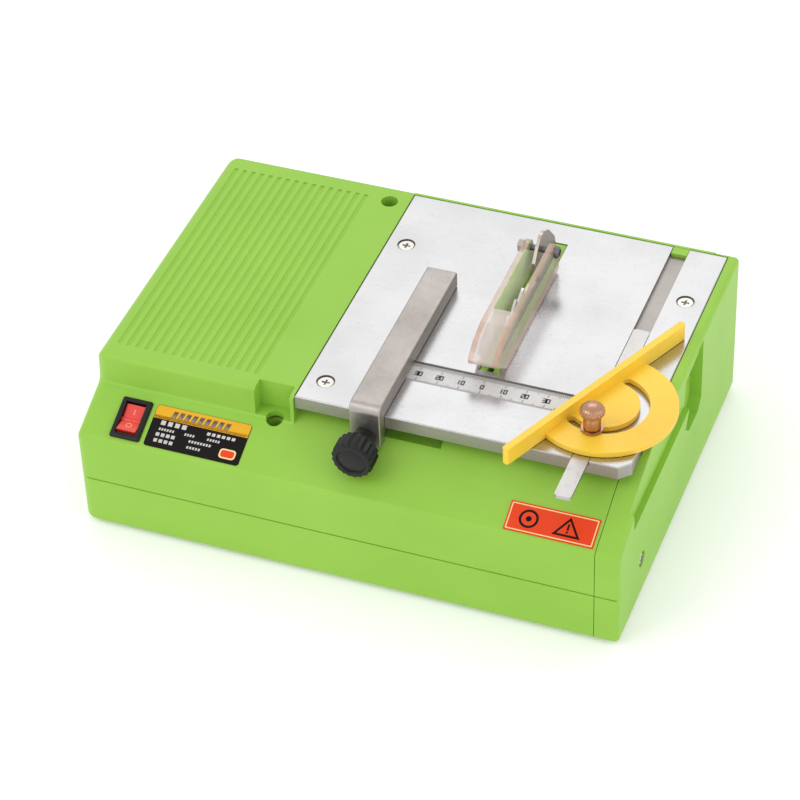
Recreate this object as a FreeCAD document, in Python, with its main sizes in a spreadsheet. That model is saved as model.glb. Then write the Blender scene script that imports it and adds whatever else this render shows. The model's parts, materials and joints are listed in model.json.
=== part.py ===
"""Bench-top mini table saw, as a parametric FreeCAD document.

Frame: millimetres, +Z up, +X to the operator's right, +Y away from the operator. The origin is on the
surface the saw stands on, under the middle of the space that the whole saw takes.
"""

import FreeCAD, Part
import Sketcher

import math
import os

Vector = FreeCAD.Vector

# ---------------------------------------------------------------- driving dimensions

DIMENSIONS = {
    # housing
    "body_width": 257.5,        # left face to right face
    "body_depth": 186.0,        # front face to back face
    "platform_height": 79.1,    # table surface above the floor
    "platform_width": 97.5,     # left face to the table plate
    "foot_out": 2.0,            # how far the rubber feet stand out below the housing
    "foot_radius": 8.0,
    "wall": 2.6,
    "floor_wall": 3.0,
    "parting_height": 28.2,     # joint between lower and upper shell, above the floor
    "seam_half": 0.35,          # groove along the joint, half its width and its depth
    "seam_depth": 0.6,
    "cover_thick": 11.5,        # side cover, left to right
    "deck_depth": 26.9,         # front face to the foot of the riser
    "deck_height": 53.2,        # deck at its front edge, above the floor
    "deck_slope": 22.8,         # degrees
    "riser_lean": 1.2,
    "corner_round": 6.0,
    "rim_round": 2.4,
    "deck_round": 3.0,          # front edge of the deck
    "fit_gap": 0.3,             # general gap between neighbours
    # ribs of the platform
    "rib_pitch": 4.48,
    "rib_groove_radius": 1.15,
    "rib_groove_depth": 0.7,
    "rib_inset": 8.25,          # first groove from the left face
    "rib_margin": 9.5,          # groove ends from the platform's front edge and from the back
    # table plate
    "plate_thick": 6.6,
    "plate_setback": 28.4,      # front face of the housing to the plate's front edge
    "plate_rim": 2.6,           # housing left standing behind the plate
    "plate_side_rim": 5.2,      # and to its right
    "plate_overhang": 9.6,      # plate beyond the shell that carries it
    "plate_screw_side": 9.5,
    "plate_screw_front": 14.0,
    "plate_screw_pitch": 103.6,
    "plate_screw_sunk": 0.6,    # screw heads below the table
    "plate_screw_recess": 4.3,
    # blade and arbor
    "blade_radius": 40.0,
    "blade_thick": 1.2,
    "blade_inset": 76.5,        # left edge of the plate to the blade
    "blade_back": 80.0,         # front edge of the plate to the arbor
    "cut_depth": 13.0,          # blade above the table
    "arbor_radius": 5.0,
    "throat_half": 5.0,         # half width of the plate's blade opening
    "throat_gap": 2.6,          # ahead of the blade
    "kerf_half": 1.5,
    # motor and belt drive
    "motor_forward": 42.4,      # arbor axis to motor axis, front to back
    "motor_height": 38.0,
    "motor_radius": 31.0,
    "motor_length": 78.0,
    "motor_shaft_radius": 4.0,
    "armature_radius": 16.0,
    "core_length": 36.0,
    "motor_inset": 11.4,        # left face of the housing to the motor
    "motor_pulley_radius": 10.5,
    "arbor_pulley_radius": 15.0,
    "belt_thick": 1.8,
    "belt_width": 8.0,
    "run_fit": 0.04,            # radial clearance of a shaft in its bearing
    # guard and riving knife
    "guard_width": 14.6,
    "guard_wall": 2.8,
    "guard_rise": 20.4,         # top of the guard above the table
    "guard_pin_back": 114.4,    # plate's front edge to the guard's pin
    "guard_pin_rise": 16.2,
    "guard_pin_radius": 1.5,
    "knife_thick": 1.5,
    # ruler and fence
    "ruler_front": 26.4,        # plate's front edge to the ruler groove
    "ruler_width": 13.6,
    "ruler_depth": 1.6,
    "ruler_left": 30.4,
    "ruler_right": 121.0,
    "fence_inset": 28.2,        # left edge of the plate to the fence
    "fence_width": 14.6,
    "fence_thick": 8.0,
    "fence_length": 102.0,
    "fence_leg": 5.7,
    "clamp_drop": 9.0,          # table surface down to the clamp screw
    "clamp_knob_radius": 9.7,
    "clamp_screw_radius": 2.0,
    # mitre gauge
    "groove_width": 8.2,
    "groove_depth": 2.1,
    "pivot_inset": 27.4,        # right face of the housing to the gauge's pivot and its groove
    "pivot_back": 35.5,
    "disc_radius": 32.6,
    "disc_thick": 2.6,
    "arm_height": 8.8,
    "arm_thick": 3.3,
    "arm_offset": 8.5,          # pivot to the arm's working face
    "arm_left": 56.4,
    "arm_right": 60.0,
    "arm_angle": 24.7,          # arm from the groove, degrees
    "slot_radius": 17.9,
    "slot_width": 4.4,
    "bar_length": 116.5,
    "bar_front": 24.5,          # bar's front end ahead of the plate
    # switch and labels on the deck
    "switch_width": 14.6,
    "switch_length": 20.4,
    "switch_inset": 16.5,
    "switch_up": 3.2,           # front edge of the deck to the switch frame, along the slope
    "label_width": 46.0,
    "label_length": 20.8,
    "label_inset": 33.3,
    "label_up": 2.8,
    "sticker_width": 40.8,
    "sticker_length": 14.2,
    "sticker_inset": 1.4,
    "sticker_up": 2.2,
    "sticker_thick": 0.3,
}


class Size:
    """A number together with the spreadsheet formula that it comes from."""

    def __init__(self, value, formula):
        self.value = float(value)
        self.formula = formula

    @staticmethod
    def of(other):
        return other if isinstance(other, Size) else Size(other, repr(float(other)))

    def join(self, sign, other, value):
        return Size(value, "(%s %s %s)" % (self.formula, sign, other.formula))

    def __add__(self, other):
        other = Size.of(other)
        return self.join("+", other, self.value + other.value)

    def __sub__(self, other):
        other = Size.of(other)
        return self.join("-", other, self.value - other.value)

    def __mul__(self, other):
        other = Size.of(other)
        return self.join("*", other, self.value * other.value)

    def __truediv__(self, other):
        other = Size.of(other)
        return self.join("/", other, self.value / other.value)

    def __radd__(self, other):
        return Size.of(other) + self

    def __rsub__(self, other):
        return Size.of(other) - self

    def __rmul__(self, other):
        return Size.of(other) * self

    def __neg__(self):
        return Size(-self.value, "(-%s)" % self.formula)


def root(size):
    return Size(math.sqrt(size.value), "sqrt(%s)" % size.formula)


def sine(degrees):
    degrees = Size.of(degrees)
    return Size(math.sin(math.radians(degrees.value)), "sin(%s)" % degrees.formula)


def cosine(degrees):
    degrees = Size.of(degrees)
    return Size(math.cos(math.radians(degrees.value)), "cos(%s)" % degrees.formula)


class Driving:
    """The driving dimensions as attributes."""


def fill_sheet(document):
    sheet = document.addObject("Spreadsheet::Sheet", "dims")
    driving = Driving()
    for row, (name, value) in enumerate(DIMENSIONS.items(), start=1):
        sheet.set("A%d" % row, name)
        sheet.set("B%d" % row, str(value))
        sheet.setAlias("B%d" % row, name)
        setattr(driving, name, Size(value, "dims." + name))
    document.recompute()
    return driving


doc = FreeCAD.newDocument("mini_table_saw")
d = fill_sheet(doc)
NODES = []

# ---------------------------------------------------------------- derived places

reach = d.disc_radius - d.pivot_inset           # gauge beyond the right face
left = -(d.body_width + reach) / 2
right = left + d.body_width
back = d.body_depth / 2
front = -back
top = d.platform_height
base = d.foot_out
split = right - d.cover_thick                   # shells meet the side cover here
plate_left = left + d.platform_width
plate_right = right - d.plate_side_rim
plate_front = front + d.plate_setback
plate_back = back - d.plate_rim
plate_under = top - d.plate_thick
seat_front = plate_front + d.plate_overhang
riser_foot = front + d.deck_depth
platform_front = riser_foot + d.riser_lean
slope_rise = sine(d.deck_slope) / cosine(d.deck_slope)
blade_x = plate_left + d.blade_inset
blade_y = plate_front + d.blade_back
arbor_z = top + d.cut_depth - d.blade_radius
motor_y = blade_y - d.motor_forward
motor_z = d.motor_height
groove_x = right - d.pivot_inset
groove_low = groove_x - d.groove_width / 2
groove_high = groove_x + d.groove_width / 2
pivot_y = plate_front + d.pivot_back


def blade_chord(z):
    """Half the blade's length where a level plane at z meets it."""
    rise = z - arbor_z
    return root(d.blade_radius * d.blade_radius - rise * rise)


knife_radius = d.blade_radius + 3
throat_front = blade_y - blade_chord(plate_under) - d.throat_gap
throat_back = blade_y + knife_radius + 18

# ---------------------------------------------------------------- building blocks

AXES = {
    "x": FreeCAD.Rotation(Vector(0, 1, 0), 90),
    "y": FreeCAD.Rotation(Vector(1, 0, 0), -90),
    "z": FreeCAD.Rotation(),
}


def bind(item, name, size):
    size = Size.of(size)
    item.setExpression(name, size.formula)


def move(item, x, y, z):
    for name, size in zip(("x", "y", "z"), (x, y, z)):
        bind(item, "Placement.Base." + name, size)
    return item


def turn(item, rotation):
    placement = item.Placement
    placement.Rotation = rotation
    item.Placement = placement
    return item


def box(x0, x1, y0, y1, z0, z1):
    item = doc.addObject("Part::Box", "box")
    for name, low, high in (("Length", x0, x1), ("Width", y0, y1), ("Height", z0, z1)):
        bind(item, name, Size.of(high) - low)
    return move(item, x0, y0, z0)


def rod(axis, x, y, z, radius, length):
    """A cylinder that starts at x, y, z and runs along the axis."""
    item = doc.addObject("Part::Cylinder", "rod")
    bind(item, "Radius", radius)
    bind(item, "Height", length)
    turn(item, AXES[axis])
    return move(item, x, y, z)


def cone(axis, x, y, z, radius1, radius2, length):
    item = doc.addObject("Part::Cone", "cone")
    bind(item, "Radius1", radius1)
    bind(item, "Radius2", radius2)
    bind(item, "Height", length)
    turn(item, AXES[axis])
    return move(item, x, y, z)


def fuse(*items):
    if len(items) == 1:
        return items[0]
    item = doc.addObject("Part::MultiFuse", "fuse")
    item.Shapes = list(items)
    item.Refine = True
    return item


def cut(item, *tools):
    result = doc.addObject("Part::Cut", "cut")
    result.Base = item
    result.Tool = fuse(*tools)
    result.Refine = True
    return result


def common(item, tool):
    result = doc.addObject("Part::Common", "common")
    result.Base = item
    result.Tool = tool
    return result


def ring(axis, x, y, z, outer, inner, length):
    return cut(rod(axis, x, y, z, outer, length), rod(axis, x, y, z, inner, length))


def group(items):
    item = doc.addObject("Part::Compound", "group")
    item.Links = items
    return item


def node(label, item):
    item.Label = label
    NODES.append(item)
    return item


def origin_plane(body, role):
    return [feature for feature in body.Origin.OriginFeatures if feature.Role == role][0]


def sketch_on(body, role):
    sketch = body.newObject("Sketcher::SketchObject", "outline")
    sketch.AttachmentSupport = [(origin_plane(body, role), "")]
    sketch.MapMode = "FlatFace"
    return sketch


def outline(body, role, points):
    """A closed polygon whose every corner is held to the origin by two sheet-driven distances."""
    sketch = sketch_on(body, role)
    points = [(Size.of(u), Size.of(v)) for u, v in points]
    count = len(points)
    for index in range(count):
        start = points[index]
        end = points[(index + 1) % count]
        sketch.addGeometry(Part.LineSegment(Vector(start[0].value, start[1].value, 0),
                                            Vector(end[0].value, end[1].value, 0)), False)
    for index in range(count):
        sketch.addConstraint(Sketcher.Constraint("Coincident", index, 2, (index + 1) % count, 1))
    for index, point in enumerate(points):
        for kind, size in zip(("DistanceX", "DistanceY"), point):
            number = sketch.addConstraint(Sketcher.Constraint(kind, -1, 1, index, 1, size.value))
            sketch.setExpression("Constraints[%d]" % number, size.formula)
    return sketch


PLANES = {"x": "YZ_Plane", "y": "XZ_Plane", "z": "XY_Plane"}
AXIS_NUMBER = {"x": 0, "y": 1, "z": 2}


def prism(axis, points, start, end, rounds=()):
    """A polygon pushed along an axis. rounds lists (corner, radius) pairs.

    The polygon's coordinates are Y, Z for axis x, X, Z for axis y and X, Y for axis z.
    """
    start = Size.of(start)
    end = Size.of(end)
    body = doc.addObject("PartDesign::Body", "prism")
    pad = body.newObject("PartDesign::Pad", "push")
    pad.Profile = outline(body, PLANES[axis], points)
    bind(pad, "Length", end - start)
    shift = {"x": (start, 0, 0), "y": (0, end, 0), "z": (0, 0, start)}[axis]
    for number, (corner, radius) in enumerate(rounds):
        doc.recompute()
        u, v = (Size.of(size).value for size in points[corner])
        solid = body.Tip
        names = edges_along(solid.Shape, axis, u, v)
        fillet = body.newObject("PartDesign::Fillet", "round%d" % number)
        fillet.Base = (solid, names)
        bind(fillet, "Radius", radius)
        body.Tip = fillet
    return move(body, *shift)


def edges_along(shape, axis, u, v):
    """Names of the edges that run along the axis through the point u, v."""
    others = [number for name, number in AXIS_NUMBER.items() if name != axis]
    names = []
    for number, edge in enumerate(shape.Edges, start=1):
        ends = [vertex.Point for vertex in edge.Vertexes]
        if len(ends) == 2 and all(
            abs(end[others[0]] - u) < 1e-3 and abs(end[others[1]] - v) < 1e-3 for end in ends
        ):
            names.append("Edge%d" % number)
    return names


def rounded(item, radius, wanted):
    """Rounds the straight edges of a feature that wanted(start, end) picks."""
    doc.recompute()
    result = doc.addObject("Part::Fillet", "rounded")
    result.Base = item
    picked = []
    for number, edge in enumerate(item.Shape.Edges, start=1):
        ends = [vertex.Point for vertex in edge.Vertexes]
        if len(ends) == 2 and wanted(ends[0], ends[1]):
            picked.append((number, Size.of(radius).value, Size.of(radius).value))
    result.Edges = picked
    return result


def near(value, size):
    return abs(value - Size.of(size).value) < 1e-3


def vertical(a, b):
    return abs(a.x - b.x) < 1e-3 and abs(a.y - b.y) < 1e-3 and abs(a.z - b.z) > 1e-3


def lathe(axis, x, y, z, points):
    """A closed outline of (distance along the axis, radius) corners turned about the axis."""
    body = doc.addObject("PartDesign::Body", "lathe")
    # The sketch lies in XZ: its X is the radius and its Z is the distance along the axis.
    sketch = outline(body, "XZ_Plane", [(radius, along) for along, radius in points])
    revolution = body.newObject("PartDesign::Revolution", "spin")
    revolution.Profile = sketch
    revolution.ReferenceAxis = (sketch, ["V_Axis"])
    revolution.Angle = 360
    turn(body, AXES[axis])
    return move(body, x, y, z)


def hexagon(axis, x, y, z, across, length, bore):
    """A hexagon nut blank with a round bore."""
    corner = Size.of(across) / math.sqrt(3)
    points = [(corner * math.cos(math.radians(60 * k)), corner * math.sin(math.radians(60 * k)))
              for k in range(6)]
    blank = prism("z", points, 0, length)
    nut = cut(blank, rod("z", 0, 0, 0, bore, length))
    turn(nut, AXES[axis])
    return move(nut, x, y, z)


def driven_head(axis, x, y, z, points, recess_end, recess_depth):
    """A turned screw with a cross recess sunk from recess_end along the axis."""
    blank = lathe("z", 0, 0, 0, points)
    reach_out = 1.9
    half = 0.5
    low = Size.of(recess_end) - recess_depth
    bars = [box(-reach_out, reach_out, -half, half, low, Size.of(recess_end) + 1),
            box(-half, half, -reach_out, reach_out, low, Size.of(recess_end) + 1)]
    screw = cut(blank, *bars)
    turn(screw, AXES[axis])
    return move(screw, x, y, z)


def flat_screw(x, y, z_top, length):
    """Countersunk screw: its head is flush with z_top and it points down."""
    points = [(-Size.of(length), 0), (-Size.of(length), 1.6), (-2.4, 1.6), (-0.5, 3.5), (0, 3.5), (0, 0)]
    return driven_head("z", x, y, z_top, points, 0, 1.5)


def pan_screw(axis, x, y, z, length, flip=False):
    """Pan head screw seated at x, y, z. Its head is on the plus side of the axis, or below with flip."""
    points = [(-Size.of(length), 0), (-Size.of(length), 1.5), (0, 1.5), (0, 3.0), (1.5, 3.0), (2.2, 1.8),
              (2.2, 0)]
    screw = driven_head(axis, x, y, z, points, 2.2, 1.4)
    if flip:
        turn(screw, FreeCAD.Rotation(Vector(1, 0, 0), 180))
    return screw


def on_deck(item, x, along, out):
    """Places a feature made in deck coordinates: along the slope from its front edge, out of its face."""
    along = Size.of(along)
    out = Size.of(out)
    turn(item, FreeCAD.Rotation(Vector(1, 0, 0), d.deck_slope.value))
    return move(item, x,
                front + along * cosine(d.deck_slope) - out * sine(d.deck_slope),
                d.deck_height + along * sine(d.deck_slope) + out * cosine(d.deck_slope))


def deck_z(y):
    return d.deck_height + (y - front) * slope_rise


def on_plate(points):
    """Turns (behind the plate's front edge, above the table) corners into Y, Z corners."""
    return [(plate_front + y, top + z) for y, z in points]


# ---------------------------------------------------------------- places shared by several pieces

gap = d.fit_gap
floor_top = base + d.floor_wall
post_low = floor_top - 0.5
ceiling = plate_under - d.wall

case_screws = [(x, y) for x in (left + 11, split - 13) for y in (front + 14, back - 14)]
case_screw_seat = base + 10
well_x = plate_left - 9.7
wells = [riser_foot + 0.6, back - 11.2]
well_seat = d.parting_height + 4
feet = [(x, y) for x in (left + 24, split - 24.5) for y in (front + 22, back - 22)]
foot_seat = Size.of(2.4)
foot_top = base + 1.5
cover_screw_y = front + 34
cover_screw_z = d.parting_height - 1.0
inlet_x = left + 42
inlet_z = base + 14
inlet_floor = back - 10.5
plate_screws = [(x, y) for x in (plate_left + d.plate_screw_side, plate_right - d.plate_screw_side)
                for y in (plate_front + d.plate_screw_front,
                          plate_front + d.plate_screw_front + d.plate_screw_pitch)]

motor_left = left + d.motor_inset
motor_right = motor_left + d.motor_length
straps = [motor_left + 3, motor_right - 16]
strap_z = motor_z - 1
strap_screw_out = d.motor_radius + 5.4
strap_reach = strap_screw_out + 3.6
core_left = motor_left + 22
core_right = core_left + d.core_length
pulley_left = plate_left + 7.8
pulley_width = d.belt_width + 2.0

block_left = plate_left + 25.8
block_right = block_left + 36
block_low = arbor_z - 14
block_top = block_low + 8
block_screws = [(x, blade_y + side) for x in (block_left + 5, block_right - 5) for side in (-16.8, 16.8)]
bearing_seats = [block_left, block_right - 8]

knife_tail = blade_y + knife_radius + 1
knife_screws = [(knife_tail + 4, arbor_z - 10), (knife_tail + 12, arbor_z - 18)]

fence_x = plate_left + d.fence_inset + d.fence_width / 2
fence_front = plate_front - gap - d.fence_leg
clamp_z = top - d.clamp_drop
jaw_room_low = plate_left + 25
jaw_room_high = plate_left + 68
jaw_room_floor = top - 15.6

switch_x = left + d.switch_inset + d.switch_width / 2
switch_along = d.switch_up + d.switch_length / 2

# ---------------------------------------------------------------- housing


def seam(low, high, left_face=False):
    """Cutters for the groove along the parting line, on the front and the back, and on the left face."""
    z0 = d.parting_height - d.seam_half
    z1 = d.parting_height + d.seam_half
    cutters = [box(low - 1, high + 1, front - 1, front + d.seam_depth, z0, z1),
               box(low - 1, high + 1, back - d.seam_depth, back + 1, z0, z1)]
    if left_face:
        cutters.append(box(left - 1, left + d.seam_depth, front - 1, back + 1, z0, z1))
    return cutters


def make_base_shell():
    wall = d.wall
    outer = box(left, split, front, back, base, d.parting_height)
    outer = rounded(outer, d.corner_round,
                    lambda a, b: vertical(a, b) and near(a.x, left))
    outer = rounded(outer, d.rim_round,
                    lambda a, b: near(a.z, base) and near(b.z, base)
                    and not (near(a.x, split) and near(b.x, split)))
    hollow = box(left + wall, split + 1, front + wall, back - wall, floor_top, d.parting_height + 1)
    hollow = rounded(hollow, d.corner_round - wall,
                     lambda a, b: vertical(a, b) and near(a.x, left + wall))
    adds = []
    holes = []
    for x, y in case_screws:
        adds.append(rod("z", x, y, post_low, 5.0, d.parting_height - post_low))
        holes.append(rod("z", x, y, base - 1, 1.6, 40))
        holes.append(rod("z", x, y, base - 1, 3.4, case_screw_seat - base + 1))
    for y in wells:
        adds.append(rod("z", well_x, y, post_low, 5.5, d.parting_height - post_low))
        holes.append(rod("z", well_x, y, d.parting_height - 14, 1.5, 15))
    # saddles for the motor
    for x in straps:
        block = box(x, x + 6, motor_y - strap_reach, motor_y + strap_reach, post_low, strap_z)
        adds.append(cut(block, rod("x", x - 1, motor_y, motor_z, d.motor_radius, 8)))
        for side in (-1, 1):
            holes.append(rod("z", x + 3, motor_y + side * strap_screw_out, strap_z - 12, 1.5, 13))
    # block for the side cover's screw
    adds.append(box(split - 14, split, cover_screw_y - 5, cover_screw_y + 5, post_low, d.parting_height))
    holes.append(rod("x", split - 12, cover_screw_y, cover_screw_z - 4, 1.5, 13))
    # pillars for the arbor block and the riving knife
    for x, y in block_screws:
        adds.append(rod("z", x, y, post_low, 4.5, block_low - post_low))
        holes.append(rod("z", x, y, block_low - 12, 1.5, 13))
    knife_side = blade_x - d.knife_thick / 2
    adds.append(box(knife_side - 9, knife_side, knife_tail, knife_tail + 16, post_low, arbor_z - 5))
    for y, z in knife_screws:
        holes.append(rod("x", knife_side - 8, y, z, 1.5, 9))
    # recess in the back wall for the cord inlet
    adds.append(box(inlet_x - 13.6, inlet_x + 13.6, inlet_floor - d.wall, back - 0.5,
                    post_low, inlet_z + 8 + d.wall))
    holes.append(box(inlet_x - 11, inlet_x + 11, inlet_floor, back + 1, inlet_z - 8, inlet_z + 8))
    holes.append(rod("y", inlet_x, inlet_floor - 5, inlet_z, 5.2, 6))
    for x, y in feet:
        adds.append(rod("z", x, y, post_low, 4.0, 7.5))
        holes.append(rod("z", x, y, base - 1, d.foot_radius + 0.2, foot_top - base + 1))
        holes.append(rod("z", x, y, base, 1.5, 8))
    # way out for the saw dust below the blade, air slots below the motor and in the left wall
    holes.append(box(blade_x - 8, blade_x + 8, blade_y - 26, blade_y + 26, base - 1, floor_top + 1))
    for number in range(6):
        x = motor_left + 24.6 + number * 6.0
        holes.append(box(x, x + 2.6, motor_y - 14, motor_y + 14, base - 1, floor_top + 1))
    for number in range(9):
        y = motor_y - 25.4 + number * 6
        holes.append(box(left - 1, left + wall + 1, y, y + 2.6, floor_top + 5, d.parting_height - 5))
    shell = fuse(cut(outer, hollow), *adds)
    node("base_shell", cut(shell, *holes, *seam(left, split, left_face=True)))


def make_top_shell():
    wall = d.wall
    low = d.parting_height
    lift = wall / cosine(d.deck_slope)
    inner_deck = front + 16
    platform = prism("x", [
        (front, low),
        (front, d.deck_height),
        (riser_foot, deck_z(riser_foot)),
        (platform_front, top),
        (back, top),
        (back, low),
    ], left, plate_left - gap, rounds=((1, d.deck_round), (2, 1.5), (3, d.rim_round), (4, d.rim_round)))
    platform = rounded(platform, d.corner_round, lambda a, b: vertical(a, b) and near(a.x, left))
    seat = prism("x", [
        (front, low),
        (front, d.deck_height),
        (seat_front, deck_z(seat_front)),
        (seat_front, plate_under),
        (back, plate_under),
        (back, low),
    ], plate_left - gap, split, rounds=((1, d.deck_round),))
    lip = prism("x", [
        (plate_back + gap, plate_under - 1),
        (plate_back + gap, top),
        (back, top),
        (back, plate_under - 1),
    ], plate_left - gap, split, rounds=((2, 1.6),))
    tab = box(groove_low + gap, groove_high - gap, plate_back - 5 + gap, plate_back + gap + 0.5,
              plate_under - 0.5, top - gap)
    throat = box(blade_x - d.throat_half + gap, blade_x + d.throat_half - gap,
                 throat_front + gap, throat_back - gap, plate_under - 1, top - 0.5)
    room_left = prism("x", [
        (front + wall, low - 1),
        (front + wall, deck_z(front + wall) - lift),
        (riser_foot + wall, deck_z(riser_foot + wall) - lift),
        (platform_front + wall, top - wall),
        (back - wall, top - wall),
        (back - wall, low - 1),
    ], left + wall, plate_left - gap - wall)
    room_right = prism("x", [
        (front + wall, low - 1),
        (front + wall, deck_z(front + wall) - lift),
        (inner_deck, deck_z(inner_deck) - lift),
        (seat_front + wall, deck_z(inner_deck) - lift),
        (seat_front + wall, ceiling),
        (back - wall, ceiling),
        (back - wall, low - 1),
    ], plate_left - gap - wall - 0.5, split + 1)
    shell = cut(fuse(platform, seat, lip, tab, throat), room_left, room_right)
    adds = []
    holes = []
    post_tops = (deck_z(front + 9) - 1, top - 1, deck_z(front + 9) - 1, plate_under - 1)
    for (x, y), height in zip(case_screws, post_tops):
        adds.append(rod("z", x, y, low, 5.0, height - low))
        holes.append(rod("z", x, y, low - 1, 1.5, 12))
    for y, height in zip(wells, (deck_z(riser_foot - 7.5) - 1, top - 1)):
        adds.append(rod("z", well_x, y, low, 6.4, height - low))
        holes.append(rod("z", well_x, y, well_seat, 4.1, 60))
        holes.append(rod("z", well_x, y, low - 1, 1.7, 10))
    # notch that leads to the front well
    notch_floor = deck_z(riser_foot) + 0.4
    adds.append(box(well_x - 9.3 - wall, plate_left - gap, riser_foot + 0.4, platform_front + 6.5 + wall,
                    notch_floor - wall, top - 1))
    holes.append(box(well_x - 9.3, well_x + 7.7, platform_front - 8, platform_front + 6.5,
                     notch_floor, top + 1))
    holes += seam(left, split, left_face=True)
    for x, y in plate_screws:
        adds.append(rod("z", x, y, plate_under - 15, 3.0, 14.5))
        holes.append(rod("z", x, y, plate_under - 13, 1.6, 14))
    # slot for the blade and the knife, room for the fence's jaw, cut-out for the switch
    holes.append(box(blade_x - d.kerf_half, blade_x + d.kerf_half,
                     blade_y - blade_chord(ceiling - 1) - d.kerf_half, throat_back - 2,
                     ceiling - 1, top + 1))
    holes.append(box(jaw_room_low, jaw_room_high, plate_front + 1.5, seat_front,
                     jaw_room_floor, plate_under + 1))
    holes.append(on_deck(group([box(-6.5, 6.5, -9.5, 9.5, -6, 4)]), switch_x, switch_along, 0))
    length = back - platform_front - 2 * d.rib_margin
    for number in range(16):
        x = left + d.rib_inset + number * d.rib_pitch
        holes.append(rod("y", x, platform_front + d.rib_margin,
                         top + d.rib_groove_radius - d.rib_groove_depth, d.rib_groove_radius, length))
    node("top_shell", cut(fuse(shell, *adds), *holes))


def make_side_cover():
    wall = d.wall
    inner = split + gap
    ramp_end = front + (top - d.deck_height) / slope_rise
    grip_low = base + 50
    outer = prism("x", [
        (front, base),
        (front, d.deck_height),
        (ramp_end, top),
        (back, top),
        (back, base),
    ], inner, right, rounds=((1, d.deck_round), (2, 8.0), (3, d.rim_round), (4, d.rim_round),
                             (0, d.rim_round)))
    outer = rounded(outer, d.rim_round, lambda a, b: near(a.x, right) and near(b.x, right))
    # room for the right edge of the plate
    ledge = box(inner - 1, plate_right + gap, plate_front - 20, plate_back + gap, plate_under, top + 1)
    # grip along the upper edge, deepest at its lower edge, with a finger pocket at its back end
    grip = prism("y", [
        (right + 1, grip_low),
        (right - 2.6, grip_low),
        (right - 1.5, top - 4),
        (right + 1, top - 1.5),
    ], plate_front - 7.7, plate_front + 97)
    pocket = prism("x", on_plate([(72, -36), (77, -27), (76, -11), (96.5, -10), (97, -36), (92, -41),
                                  (78, -41)]), right - 5.4, right + 1)
    depth = right - 2.6 - wall
    front_room = prism("x", [
        (front + wall, floor_top),
        (front + wall, d.deck_height - 6),
        (front + 30, deck_z(front + 30) - 6),
        (plate_front + 69, ceiling),
        (plate_front + 69, floor_top),
    ], inner - 1, depth)
    back_room = box(inner - 1, depth, plate_front + 100, back - wall, floor_top, ceiling)
    screw_y = cover_screw_y
    screw_z = cover_screw_z - 4
    post = rod("x", inner, screw_y, screw_z, 5.5, right - 1 - inner)
    # tongues that hook behind the back wall of the shells
    tongues = []
    for z in (base + 9, plate_under - 26):
        tongues.append(box(inner - 5, inner + 4, back - wall - 2.6, back - wall - 0.4, z, z + 12))
        tongues.append(box(inner, inner + 4, back - wall - 1, back - wall + 0.5, z, z + 12))
    shell = fuse(cut(outer, ledge, grip, pocket, front_room, back_room), post, *tongues)
    node("side_cover", cut(shell,
                           *seam(inner, right),
                           rod("x", inner - 1, screw_y, screw_z, 1.6, 30),
                           rod("x", right - 2.4, screw_y, screw_z, 4.0, 10)))
    node("cover_screw", pan_screw("x", right - 2.4, screw_y, screw_z, 20))


def make_feet():
    pads = []
    for x, y in feet:
        pad = lathe("z", x, y, 0, [(0, 0), (0, d.foot_radius - 1.6), (0.8, d.foot_radius - 0.6),
                                   (base, d.foot_radius), (foot_top, d.foot_radius), (foot_top, 0)])
        pads.append(cut(pad, rod("z", x, y, -1, 3.3, foot_seat + 1), rod("z", x, y, -1, 1.6, 9)))
    node("rubber_feet", group(pads))
    node("foot_screws", group([pan_screw("z", x, y, foot_seat, 7, flip=True) for x, y in feet]))


def make_case_screws():
    screws = [pan_screw("z", x, y, case_screw_seat, 26, flip=True) for x, y in case_screws]
    screws += [pan_screw("z", well_x, y, well_seat, 16) for y in wells]
    node("case_screws", group(screws))


def make_labels():
    node("rating_label", on_deck(box(0, d.label_width, 0, d.label_length, 0, d.sticker_thick),
                                 left + d.label_inset, d.label_up, 0))
    node("caution_label", on_deck(box(0, d.sticker_width, 0, d.sticker_length, 0, d.sticker_thick),
                                  split - d.sticker_inset - d.sticker_width, d.sticker_up, 0))


def make_gland():
    y = inlet_floor
    body = fuse(
        rod("y", inlet_x, y - 8, inlet_z, 5.1, 9),
        hexagon("y", inlet_x, y, inlet_z, 14, 4, 1),
        lathe("y", inlet_x, y + 4, inlet_z, [(0, 0), (0, 6), (3, 6), (5, 4.4), (5, 0)]),
    )
    bore = rod("y", inlet_x, y - 9, inlet_z, 3.6, 20)
    lock_nut = hexagon("y", inlet_x, y - d.wall - 3, inlet_z, 14, 3, 5.1)
    node("cord_gland", cut(fuse(body, lock_nut), bore))


# ---------------------------------------------------------------- switch

rocker_drop = 1.5           # rocker's axis below the deck
rocker_pin = 1.2


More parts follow.
